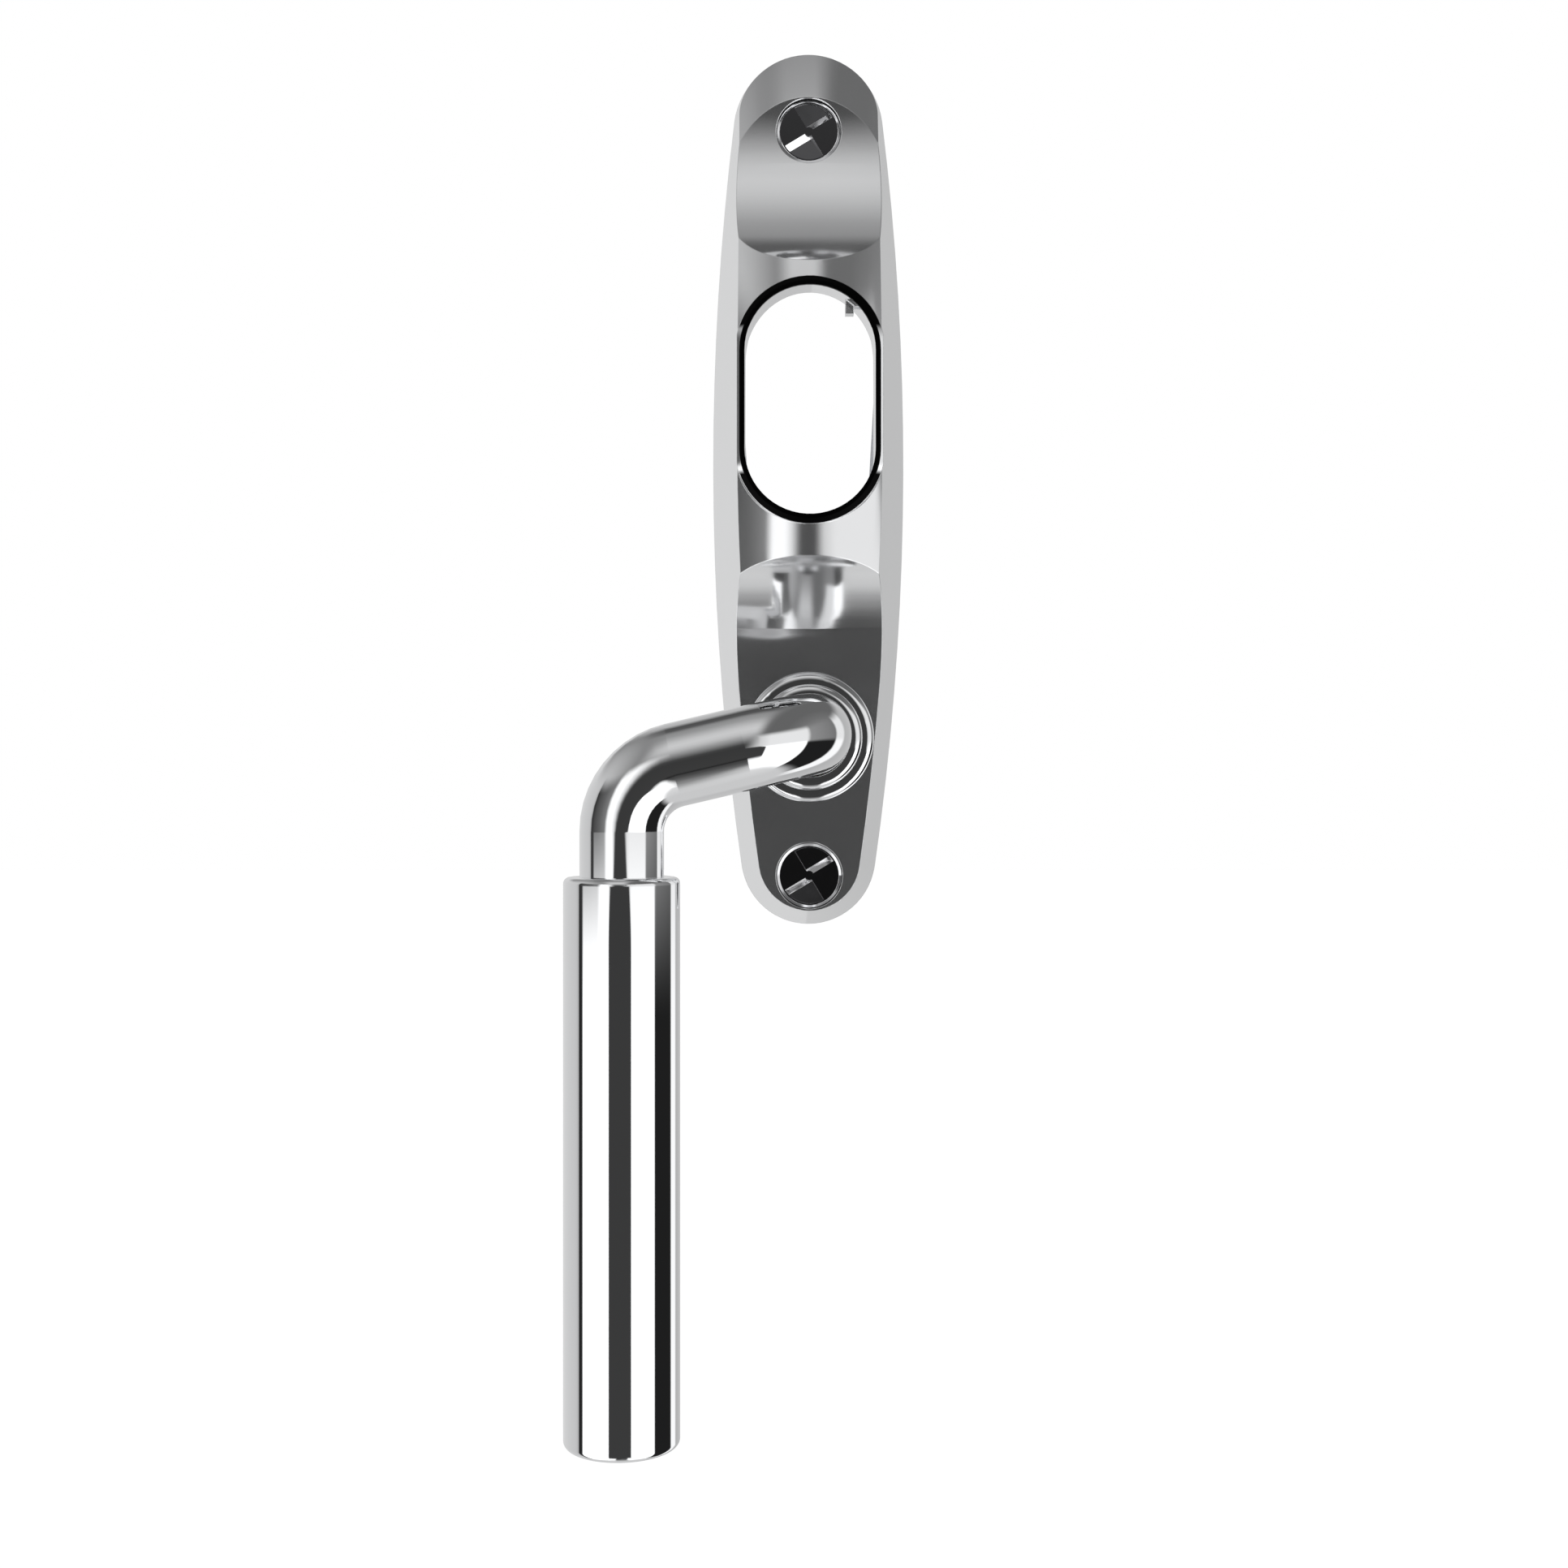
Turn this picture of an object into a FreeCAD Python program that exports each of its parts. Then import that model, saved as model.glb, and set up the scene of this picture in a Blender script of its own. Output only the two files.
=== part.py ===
import FreeCAD, Part
import math
import os
import re
from Sketcher import Constraint

# Window fastener with a long shield and a cranked round-bar lever.
#
# Frame: the origin is the lever's turning axis where it crosses the shield's back plane.
# +X is to the right seen from the room, +Y goes into the window sash, +Z is up.
# The back plane is y = 0. A "depth" below is a distance in front of it, so y = -depth.

doc = FreeCAD.newDocument("window_fastener")

SIZES = {
    # shield outline on the back plane, in millimetres
    "shield_top": 121,
    "shield_foot": 32.7,
    "top_end_radius": 13.2,
    "foot_end_radius": 11.9,
    "side_arc_radius": 500,
    "side_draft": 13.3,
    # crowned front: a round section swept along an arch
    "crest_depth": 24,
    "crest_height": 49,
    "arch_radius": 128,
    "section_radius": 20,
    "shoulder_drop": 7.9,
    # the flat seat under the lever, and the two scoops cut across the front
    "seat_depth": 13.5,
    "seat_top": 8.5,
    "scoop_start_radius": 36,
    "scoop_start_angle": 16,
    "lower_scoop_radius": 19,
    "upper_scoop_radius": 32,
    "upper_scoop_height": 105.2,
    "upper_scoop_depth": 39.4,
    # casting walls
    "side_wall": 2.2,
    "front_wall": 2.5,
    "pillar_wall": 1.6,
    # oval opening for a lock cylinder, and its raised rim
    "oval_height": 55.5,
    "oval_radius": 10.8,
    "oval_half_centres": 8.1,
    "rim_depth": 24.6,
    "rim_width": 1.6,
    "rim_chamfer": 0.6,
    "rim_chamfer_width": 0.9,
    "rim_half_width": 12.1,
    "rim_wall_length": 5.4,
    "lug_side": 6.6,
    "lug_drop": 1.85,
    "lug_width": 1.4,
    "lug_length": 2.2,
    # security fixing screws
    "upper_screw_height": 105.3,
    "lower_screw_drop": 23.5,
    "upper_head_depth": 7.2,
    "lower_head_sink": 0.4,
    "screw_head_radius": 5.5,
    "screw_head_length": 3,
    "screw_head_chamfer": 0.3,
    "screw_head_chamfer_width": 0.45,
    "screw_neck_radius": 2.3,
    "screw_thread_radius": 2.5,
    "screw_thread_length": 24,
    "screw_point_length": 1.5,
    "pocket_gap": 0.15,
    "drive_radius": 4.8,
    "drive_hub_radius": 0.8,
    "drive_depth": 1.1,
    "drive_ramp": 10,
    "drive_wall_lean": 40,
    "drive_turn": 31,
    # lever
    "bar_radius": 6.5,
    "bend_radius": 10.5,
    "arm_depth": 45,
    "arm_drop_angle": 13.2,
    "grip_offset": 29.3,
    "grip_top_drop": 22.2,
    "grip_length": 87.5,
    "grip_radius": 9,
    "grip_edge": 1,
    "grip_bar_length": 40,
    "grip_cap_length": 5,
    "grip_shoulder": 4,
    "grip_screw_radius": 2.5,
    "grip_screw_head_radius": 4.5,
    "grip_screw_length": 16,
    # lever end inside the shield
    "neck_end_depth": 3,
    "tenon_depth": 7.2,
    "tenon_wall": 2,
    "tenon_flat_wall": 1.25,
    "running_gap": 0.05,
    "assembly_gap": 0.1,
    "moving_gap": 0.3,
    # turned collar on the seat, bush and washers behind it
    "collar_flange_radius": 11,
    "collar_flange_length": 2,
    "collar_ring_radius": 8.9,
    "collar_length": 5,
    "collar_round": 1.2,
    "bush_wall": 1.5,
    "bush_stand": 1.7,
    "bush_flange_radius": 9.5,
    "bush_flange_length": 1,
    "washer_radius": 9.2,
    "spring_washer_length": 0.7,
    "spring_washer_thickness": 0.4,
    "thrust_washer_length": 0.7,
    "clip_length": 1,
    "clip_groove_depth": 0.6,
    "clip_width": 2.5,
    "clip_mouth": 9,
    # click disc with its spring-loaded ball and its stop pin
    "disc_radius": 10.2,
    "disc_front_depth": 7,
    "disc_length": 3.2,
    "track_depth": 0.6,
    "notch_depth": 0.4,
    "ball_radius": 2,
    "block_foot": 11,
    "block_top": 22.5,
    "block_half_width": 4,
    "block_front_depth": 9.4,
    "spring_wire_half_diagonal": 0.42,
    "spring_coil_radius": 1.5,
    "spring_pitch": 1.2,
    "spring_length": 6.6,
    "stop_pin_radius": 1.25,
    "stop_pin_front_depth": 6.2,
    "stop_circle_radius": 7.5,
    "stop_pin_angle": 225,
    "stop_slot_length": 2.7,
    "opening_angle": 90,
    # square spindle
    "spindle_side": 7,
    "spindle_edge": 0.5,
    "spindle_front_depth": 22,
    "spindle_reach": 35,
    "spindle_pin_radius": 1.5,
    "spindle_pin_sink": 1,
    # back plate and the screws that hold it in the casting
    "plate_thickness": 1.5,
    "plate_oval_margin": 1.2,
    "plate_oval_lift": 4.6,
    "plate_spindle_hole_radius": 5.5,
    "plate_screw_radius": 1.5,
    "plate_screw_head_radius": 2.6,
    "plate_screw_length": 7,
    "plate_screw_pillar_radius": 3.1,
    "plate_screw_top_height": 84,
    "plate_screw_middle_height": 29,
    "plate_screw_foot_drop": 14,
}

sheet = doc.addObject("Spreadsheet::Sheet", "Sizes")
for row, (alias, value) in enumerate(SIZES.items(), start=1):
    sheet.set(f"A{row}", alias)
    sheet.set(f"B{row}", str(value))
    sheet.setAlias(f"B{row}", alias)
doc.recompute()

FRONTWARD = "rotation(vector(1; 0; 0); 90)"
SIDEWAYS = "rotation(vector(0; 1; 0); 90)"
UPRIGHT = "rotation(vector(0; 0; 1); 0)"
UPWARD = "rotation(vector(1; 0; 0); -90)"

# Places worked out from the sizes, as expressions in the same words.
BUSH_RADIUS = "(bar_radius + bush_wall)"
BUSH_FRONT = "(seat_depth + bush_stand)"
TENON_RADIUS = "(spindle_side / 2 + tenon_wall)"
TENON_FLAT = "(spindle_side / 2 + tenon_flat_wall)"
GROOVE_RADIUS = "(bar_radius - clip_groove_depth)"
CLIP_RADIUS = f"({GROOVE_RADIUS} + clip_width)"
PIN_DEPTH = "(seat_depth - spindle_pin_sink)"
PIN_HALF = "(bar_radius - spindle_pin_radius / 3)"
BUSH_BACK = "(seat_depth - front_wall - bush_flange_length)"
THRUST_BACK = f"({BUSH_BACK} - spring_washer_length - moving_gap - thrust_washer_length)"
CLIP_BACK = f"({THRUST_BACK} - clip_length)"
DISC_BACK = "(disc_front_depth - disc_length)"
DISC_MIDDLE = "(disc_front_depth - disc_length / 2)"
BALL_Z = "(disc_radius - track_depth + assembly_gap + ball_radius)"
STOP_X = "(stop_circle_radius * cos(stop_pin_angle * 1deg))"
STOP_Z = "(stop_circle_radius * sin(stop_pin_angle * 1deg))"
BAR_END_Z = "(-grip_top_drop - grip_bar_length)"
SOCKET_HALF = "(spindle_side / 2 + assembly_gap)"
GRIP_TOP = "(-grip_top_drop)"
GRIP_FOOT = "(-grip_top_drop - grip_length)"
GRIP_BORE = "(bar_radius + running_gap)"
SHOULDER_TOP = f"({BAR_END_Z} - assembly_gap)"
SHOULDER_FOOT = f"({SHOULDER_TOP} - grip_shoulder)"
SCOOP_SINE = "sin(scoop_start_angle * 1deg)"
SCOOP_COSINE = "cos(scoop_start_angle * 1deg)"
SCOOP_STEP = "(scoop_start_radius - lower_scoop_radius)"
OUTER_OVAL = "(oval_radius + rim_width)"
RIM_FOOT = "(rim_depth - rim_wall_length)"
FIXING_SCREWS = (("upper_screw", "upper_screw_height", "upper_head_depth"),
                 ("lower_screw", "(-lower_screw_drop)", "(seat_depth - lower_head_sink)"))
PLATE_SCREWS = (("top_plate_screw", "plate_screw_top_height"),
                ("middle_plate_screw", "plate_screw_middle_height"),
                ("foot_plate_screw", "(-plate_screw_foot_drop)"))


def bound(words):
    """Turn the sizes named in an expression into references to their cells."""
    def cell(match):
        word = match.group(0)
        return f"Sizes.{word}" if word in SIZES else word
    return re.sub(r"[a-z_]+", cell, str(words))


def spot(x, depth, z):
    """An expression for the point x to the right, depth in front of the back plane, z up."""
    return f"vector({x}; -({depth}); {z})"


def bind(thing, **expressions):
    for name, words in expressions.items():
        thing.setExpression(name, bound(words))


def put(thing, point, turn=UPRIGHT):
    bind(thing, Placement=f"placement({point}; {turn})")
    return thing


def new(kind, label):
    thing = doc.addObject(kind, label)
    thing.Label = label
    return thing


# ---- plain shapes ----

def rod(label, radius, start, length, x="0", z="0"):
    """A cylinder that runs towards the room from the depth called start."""
    thing = new("Part::Cylinder", label)
    bind(thing, Radius=radius, Height=length)
    return put(thing, spot(x, start, z), FRONTWARD)


def cone(label, back_radius, front_radius, start, length, x="0", z="0"):
    thing = new("Part::Cone", label)
    bind(thing, Radius1=back_radius, Radius2=front_radius, Height=length)
    return put(thing, spot(x, start, z), FRONTWARD)


def roller(label, radius, half_length, depth, z):
    """A cylinder lying across the shield, from left to right."""
    thing = new("Part::Cylinder", label)
    bind(thing, Radius=radius, Height=f"2 * ({half_length})")
    return put(thing, spot(f"-({half_length})", depth, z), SIDEWAYS)


def block(label, left, right, back, front, low, high):
    """A box between two values of x, two depths and two heights."""
    thing = new("Part::Box", label)
    bind(thing, Length=f"({right}) - ({left})", Width=f"({front}) - ({back})",
         Height=f"({high}) - ({low})")
    return put(thing, spot(left, front, low))


def upright_rod(label, radius, low, length, x="0", depth=DISC_MIDDLE):
    thing = new("Part::Cylinder", label)
    bind(thing, Radius=radius, Height=length)
    return put(thing, spot(x, depth, low))


def fuse(label, *pieces):
    thing = new("Part::MultiFuse", label)
    thing.Shapes = list(pieces)
    return thing


def common(label, *pieces):
    thing = new("Part::MultiCommon", label)
    thing.Shapes = list(pieces)
    return thing


def cut(label, base, *tools):
    thing = new("Part::Cut", label)
    thing.Base = base
    thing.Tool = tools[0] if len(tools) == 1 else fuse(f"{label}_tools", *tools)
    return thing


def group(label, *pieces):
    """Separate solids kept together as one sub-part."""
    thing = new("Part::Compound", label)
    thing.Links = list(pieces)
    return thing


def extrude(label, sketch, length, draft="0"):
    """Push a front-facing sketch towards the room; a draft makes it narrower on the way."""
    thing = new("Part::Extrusion", label)
    thing.Base = sketch
    thing.DirMode = "Normal"
    thing.Solid = True
    bind(thing, LengthFwd=length, TaperAngle=f"-({draft})")
    return thing


# ---- sketches ----

def arc(radius, centre, start, end):
    """An arc on a circle about centre, between two angles in degrees."""
    circle = Part.Circle(FreeCAD.Vector(*centre, 0), FreeCAD.Vector(0, 0, 1), radius)
    return Part.ArcOfCircle(circle, math.radians(start), math.radians(end))


def add(sketch, kind, *rest, words=None):
    """Add one constraint, and bind its value when it has one."""
    index = sketch.addConstraint(Constraint(kind, *rest))
    if words is not None:
        sketch.setExpression(f"Constraints[{index}]", bound(words))


def shield_outline(label, depth, inset="0"):
    """The shield's outline: a round top, a round foot and two long arcs between them."""
    sketch = new("Sketcher::SketchObject", label)
    put(sketch, spot("0", depth, "0"), FRONTWARD)
    top_y = SIZES["shield_top"] - SIZES["top_end_radius"]
    foot_y = SIZES["foot_end_radius"] - SIZES["shield_foot"]
    top_r, foot_r, side_r = (SIZES["top_end_radius"], SIZES["foot_end_radius"],
                             SIZES["side_arc_radius"])
    # the side arc's centre is inside both end circles' tangent distances
    span = top_y - foot_y
    mid = (top_y + foot_y) / 2 + ((side_r - foot_r) ** 2 - (side_r - top_r) ** 2) / (2 * span)
    away = math.sqrt((side_r - top_r) ** 2 - (top_y - mid) ** 2)
    top_turn = math.degrees(math.atan2(top_y - mid, away))
    foot_turn = math.degrees(math.atan2(mid - foot_y, away))
    sketch.addGeometry([
        arc(top_r, (0, top_y), top_turn, 180 - top_turn),
        arc(side_r, (away, mid), 180 - top_turn, 180 + foot_turn),
        arc(foot_r, (0, foot_y), 180 + foot_turn, 360 - foot_turn),
        arc(side_r, (-away, mid), -foot_turn, top_turn),
    ], False)
    for first, second in ((0, 1), (1, 2), (2, 3), (3, 0)):
        add(sketch, "Tangent", first, 2, second, 1)
    for end in (0, 2):
        add(sketch, "PointOnObject", end, 3, -2)
    add(sketch, "DistanceY", -1, 1, 0, 3, top_y, words="shield_top - top_end_radius")
    add(sketch, "DistanceY", -1, 1, 2, 3, foot_y, words="foot_end_radius - shield_foot")
    add(sketch, "Radius", 0, top_r, words=f"top_end_radius - ({inset})")
    add(sketch, "Radius", 2, foot_r, words=f"foot_end_radius - ({inset})")
    add(sketch, "Radius", 1, side_r, words=f"side_arc_radius - ({inset})")
    add(sketch, "Radius", 3, side_r, words=f"side_arc_radius - ({inset})")
    return sketch


def oval_outline(label, depth, radius, lift="0"):
    """An upright oval with straight sides round the cylinder opening; a lift raises its top."""
    sketch = new("Sketcher::SketchObject", label)
    put(sketch, spot("0", depth, f"oval_height + {lift} / 2"), FRONTWARD)
    r, half = SIZES["oval_radius"], SIZES["oval_half_centres"]
    line = Part.LineSegment
    point = FreeCAD.Vector
    sketch.addGeometry([
        arc(r, (0, half), 0, 180),
        line(point(-r, half, 0), point(-r, -half, 0)),
        arc(r, (0, -half), 180, 360),
        line(point(r, -half, 0), point(r, half, 0)),
    ], False)
    for first, second in ((0, 1), (1, 2), (2, 3), (3, 0)):
        add(sketch, "Tangent", first, 2, second, 1)
    for end in (0, 2):
        add(sketch, "PointOnObject", end, 3, -2)
    add(sketch, "DistanceY", -1, 1, 0, 3, half, words=f"oval_half_centres + {lift} / 2")
    add(sketch, "DistanceY", 2, 3, -1, 1, half, words=f"oval_half_centres + {lift} / 2")
    add(sketch, "Radius", 0, r, words=radius)
    return sketch


def turned(label, points, rounds=(), place=spot("0", "0", "0"), turn=UPRIGHT):
    """A body turned from (radius, station) corners; a station is a depth on the lever's axis.

    rounds lists (radius, station, rounding) of the corners that are rounded off."""
    body = new("PartDesign::Body", label)
    put(body, place, turn)
    sketch = body.newObject("Sketcher::SketchObject", f"{label}_profile")
    plane = next(p for p in body.Origin.OriginFeatures if p.Role == "XY_Plane")
    sketch.AttachmentSupport = [(plane, "")]
    sketch.MapMode = "FlatFace"
    values = [(worth(radius), -worth(depth)) for radius, depth in points]
    for index, here in enumerate(values):
        there = values[(index + 1) % len(values)]
        sketch.addGeometry(Part.LineSegment(FreeCAD.Vector(*here, 0), FreeCAD.Vector(*there, 0)), False)
    for index, (radius, depth) in enumerate(points):
        add(sketch, "Coincident", index, 2, (index + 1) % len(points), 1)
        if radius == "0":
            add(sketch, "PointOnObject", index, 1, -2)
        else:
            add(sketch, "DistanceX", -1, 1, index, 1, values[index][0], words=radius)
        add(sketch, "DistanceY", -1, 1, index, 1, values[index][1], words=f"-({depth})")
    spun = body.newObject("PartDesign::Revolution", f"{label}_turned")
    spun.Profile = sketch
    spun.ReferenceAxis = (sketch, ["V_Axis"])
    spun.Angle = 360
    doc.recompute()
    for count, (radius, depth, rounding) in enumerate(rounds):
        last = body.Tip
        wanted = [f"Edge{i}" for i, edge in enumerate(last.Shape.Edges, start=1)
                  if is_ring(edge, worth(radius), worth(depth))]
        rounded = body.newObject("PartDesign::Fillet", f"{label}_round_{count}")
        rounded.Base = (last, wanted)
        bind(rounded, Radius=rounding)
        doc.recompute()
    return body


def worth(words):
    """The number that an expression in the sheet's words comes to."""
    values = {alias: float(sheet.get(alias)) for alias in SIZES}
    total = re.sub(r"[a-z_]+", lambda m: repr(values[m.group(0)]), str(words))
    return float(FreeCAD.Units.Quantity(total).Value) if total else 0.0


def is_ring(edge, radius, depth):
    """Whether an edge is the circle of that radius about the lever's axis at that depth."""
    curve = edge.Curve
    if not isinstance(curve, Part.Circle):
        return False
    return abs(curve.Radius - radius) < 1e-4 and abs(curve.Center.y + depth) < 1e-4


# ---- shield casting ----

def crowned_mass(label, cover="0"):
    """Everything behind the crowned front, or behind a skin of that thickness under it.

    Above the crest the round section follows the arch; below it the section runs straight."""
    arch_axis_depth = "crest_depth - arch_radius"
    upper_front_quarter = f"{SIDEWAYS} * rotation(vector(0; 0; 1); 180)"
    ring = new("Part::Torus", f"{label}_crown")
    bind(ring, Radius1="arch_radius - section_radius", Radius2=f"section_radius - ({cover})",
         Angle3="90")
    put(ring, spot("0", arch_axis_depth, "crest_height"), upper_front_quarter)
    drum = new("Part::Cylinder", f"{label}_drum")
    bind(drum, Radius=f"arch_radius - shoulder_drop - ({cover})", Height="4 * section_radius",
         Angle="90")
    put(drum, spot("-2 * section_radius", arch_axis_depth, "crest_height"), upper_front_quarter)
    straight = upright_rod(f"{label}_straight", f"section_radius - ({cover})", "-2 * shield_foot",
                           "crest_height + 2 * shield_foot", depth="crest_depth - section_radius")
    shoulder = block(f"{label}_shoulder", "-2 * section_radius", "2 * section_radius", "0",
                     f"crest_depth - shoulder_drop - ({cover})", "-2 * shield_foot", "crest_height")
    return fuse(label, ring, drum, straight, shoulder)


def front_cutters(label, cover="0"):
    """The two scoops and the flat seat, as the material they take away in front.

    The lower scoop leaves the seat on a gentle arc, then turns forward on a tighter one."""
    reach = "2 * section_radius"
    upper = roller(f"{label}_upper", f"upper_scoop_radius + {cover}", reach,
                   "upper_scoop_depth", "upper_scoop_height")
    start_end = f"seat_top + (scoop_start_radius + {cover}) * {SCOOP_SINE}"
    start = common(f"{label}_scoop_start",
                   roller(f"{label}_start_round", f"scoop_start_radius + {cover}", reach,
                          "seat_depth + scoop_start_radius", "seat_top"),
                   block(f"{label}_start_span", f"-({reach})", reach, "0", "2 * crest_depth",
                         "0", start_end))
    lower = roller(f"{label}_lower", f"lower_scoop_radius + {cover}", reach,
                   f"seat_depth + scoop_start_radius - {SCOOP_STEP} * {SCOOP_COSINE}",
                   f"seat_top + {SCOOP_STEP} * {SCOOP_SINE}")
    seat = block(f"{label}_seat", f"-({reach})", reach, f"seat_depth - {cover}",
                 "2 * crest_depth", "-2 * shield_foot", "seat_top")
    return [upper, start, lower, seat]


def raised_rim():
    """The chamfered rim round the oval: two round ends and a straight middle."""
    land = f"({OUTER_OVAL} - rim_chamfer_width)"
    wall = "(rim_wall_length - rim_chamfer)"
    chamfer_foot = "(rim_depth - rim_chamfer)"
    pieces = []
    for end, height in (("top", "(oval_height + oval_half_centres)"),
                        ("foot", "(oval_height - oval_half_centres)")):
        pieces.append(rod(f"rim_{end}_wall", OUTER_OVAL, RIM_FOOT, wall, z=height))
        pieces.append(cone(f"rim_{end}_chamfer", OUTER_OVAL, land, chamfer_foot, "rim_chamfer",
                           z=height))
    low = "oval_height - oval_half_centres"
    high = "oval_height + oval_half_centres"
    pieces.append(block("rim_middle_wall", f"-{OUTER_OVAL}", OUTER_OVAL, RIM_FOOT, chamfer_foot,
                        low, high))
    slope = new("Part::Wedge", "rim_middle_chamfer")
    bind(slope, Xmin=f"-{OUTER_OVAL}", Xmax=OUTER_OVAL, X2min=f"-{land}", X2max=land,
         Ymin="0", Ymax="rim_chamfer", Zmin="-oval_half_centres", Zmax="oval_half_centres",
         Z2min="-oval_half_centres", Z2max="oval_half_centres")
    put(slope, spot("0", chamfer_foot, "oval_height"), "rotation(vector(0; 0; 1); 180)")
    sides = block("rim_sides", "-rim_half_width", "rim_half_width", "0", "2 * crest_depth",
                  "0", "shield_top")
    return common("rim", fuse("rim_whole", *pieces, slope), sides)


def shield_casting():
    blank = extrude("shield_blank", shield_outline("shield_outline", "0"),
                    "crest_depth + front_wall", "side_draft")
    crowned = common("shield_crowned", blank, crowned_mass("shield_mass"))
    front = cut("shield_front", crowned, *front_cutters("front"))

    rim = raised_rim()

    # hollow back, with pillars left standing for the screws
    hollow_block = extrude("hollow_block", shield_outline("hollow_outline", "0", "side_wall"),
                           "crest_depth", "side_draft")
    hollow_mass = common("hollow_mass", hollow_block, crowned_mass("hollow_limit", "front_wall"))
    hollow_front = cut("hollow_front", hollow_mass, *front_cutters("hollow", "front_wall"))
    pillars = []
    foot = "plate_thickness + assembly_gap"
    for name, height, _ in FIXING_SCREWS:
        pillars.append(rod(f"{name}_pillar", "screw_head_radius + pocket_gap + pillar_wall",
                           foot, "crest_depth", z=height))
    for name, height in PLATE_SCREWS:
        pillars.append(rod(f"{name}_pillar", "plate_screw_pillar_radius", foot, "crest_depth",
                           z=height))
    rim_skirt = extrude("rim_skirt", oval_outline("skirt_outline", RIM_FOOT, OUTER_OVAL),
                        "rim_wall_length")
    hollow = cut("hollow", hollow_front, *pillars, rim_skirt)
    plate_recess = extrude("plate_recess", shield_outline("recess_outline", "0", "side_wall"),
                           foot, "side_draft")

    # a small lug reaches into the opening behind the rim and stops the cylinder turning
    wall_over_lug = "sqrt(oval_radius ^ 2 - lug_side ^ 2)"
    lug_foot = f"oval_height + oval_half_centres + {wall_over_lug} - lug_drop"
    lug = block("lug", "lug_side - lug_width / 2", "lug_side + lug_width / 2",
                RIM_FOOT, f"{RIM_FOOT} + lug_length", lug_foot, f"{lug_foot} + 2 * lug_width")
    walls = cut("shield_walls", front, hollow, plate_recess)
    body = fuse("shield_with_rim", walls, rim, lug)
    oval = extrude("oval", oval_outline("opening_outline", "-1", "oval_radius"), "2 * crest_depth")
    opening = cut("opening", oval, lug)
    bores = [opening,
             rod("neck_bore", BUSH_RADIUS, "-1", "seat_depth + 2"),
             rod("works_chamber", "bush_flange_radius + assembly_gap", "-1",
                 "seat_depth - front_wall + 1"),
             rod("collar_spot_face", "collar_flange_radius + assembly_gap", "seat_depth",
                 "crest_depth")]
    for name, height, depth in FIXING_SCREWS:
        bores.append(rod(f"{name}_pocket", "screw_head_radius + pocket_gap",
                         f"{depth} - screw_head_length", "crest_depth", z=height))
        bores.append(rod(f"{name}_hole", "screw_thread_radius + assembly_gap", "-1",
                         "crest_depth", z=height))
    for name, height in PLATE_SCREWS:
        bores.append(rod(f"{name}_thread", "plate_screw_radius", "-1", "plate_screw_length + 1",
                         z=height))
    return cut("shield", body, *bores)


# ---- what is fixed in the shield ----

def back_plate():
    """A steel plate that closes the casting's back and carries the click parts."""
    blank = extrude("plate_blank",
                    shield_outline("plate_outline", "0", "side_wall + assembly_gap"),
                    "plate_thickness", "side_draft")
    holes = [
        extrude("plate_oval",
                oval_outline("plate_oval_outline", "-1", "oval_radius + plate_oval_margin",
                             "plate_oval_lift"),
                "plate_thickness + 2"),
        rod("plate_spindle_hole", "plate_spindle_hole_radius", "-1", "plate_thickness + 2"),
        rod("plate_pin_hole", "stop_pin_radius", "-1", "plate_thickness + 2",
            x=STOP_X, z=STOP_Z),
    ]
    for name, height, _ in FIXING_SCREWS:
        holes.append(rod(f"plate_{name}_hole", "screw_thread_radius + assembly_gap", "-1",
                         "plate_thickness + 2", z=height))
    for name, height in PLATE_SCREWS:
        holes.append(rod(f"plate_{name}_hole", "plate_screw_radius + assembly_gap", "-1",
                         "plate_thickness + 2", z=height))
        holes.append(cone(f"plate_{name}_sink", "plate_screw_head_radius + assembly_gap",
                          "plate_screw_radius + assembly_gap", "0",
                          "plate_screw_head_radius - plate_screw_radius", z=height))
    return cut("back_plate", blank, *holes)


def plate_screws():
    """Three countersunk screws that enter the casting's pillars from behind."""
    screws = []
    for name, height in PLATE_SCREWS:
        head = cone(f"{name}_head", "plate_screw_head_radius", "plate_screw_radius", "0",
                    "plate_screw_head_radius - plate_screw_radius", z=height)
        shank = rod(f"{name}_shank", "plate_screw_radius", "0",
                    "plate_screw_length - assembly_gap", z=height)
        slot = block(f"{name}_slot", "-plate_screw_head_radius", "plate_screw_head_radius",
                     "-1", "plate_screw_radius / 3", f"{height} - plate_screw_radius / 4",
                     f"{height} + plate_screw_radius / 4")
        screws.append(cut(f"{name}_whole", fuse(f"{name}_solid", head, shank), slot))
    return group("plate_screws", *screws)


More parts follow.
